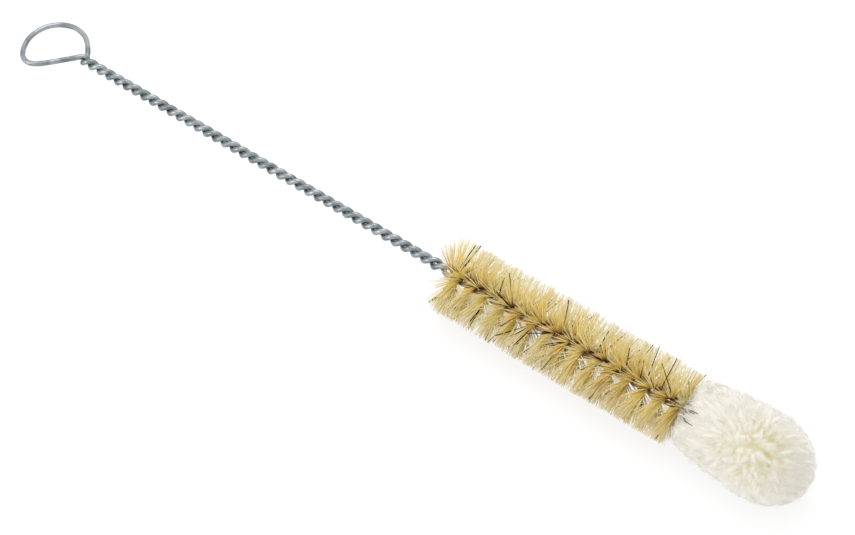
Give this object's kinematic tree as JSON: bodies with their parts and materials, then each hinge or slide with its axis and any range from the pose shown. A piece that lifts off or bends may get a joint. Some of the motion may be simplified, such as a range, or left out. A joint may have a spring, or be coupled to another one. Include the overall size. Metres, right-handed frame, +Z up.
{
  "type": "bottle brush",
  "caption": "Twisted-wire bottle brush with a hanging ring, a spiral of trimmed natural bristles and a soft wool tuft on the tip.",
  "frame": {"origin": "under the middle of the brush, on the surface that it lies on", "axes": "+X along the brush from the ring to the wool tip, +Z up; the ring lies level across +Y"},
  "size_m": [0.3236, 0.0293, 0.028],
  "materials": {
    "galvanised_wire": "satin",
    "pale_bristle": "matte",
    "dark_bristle": "matte",
    "wool_yarn": "matte"
  },
  "bodies": {
    "root": {"wire_handle": "galvanised_wire", "bristle_spiral": "pale_bristle", "wool_tuft": "wool_yarn"}
  },
  "joints": []
}
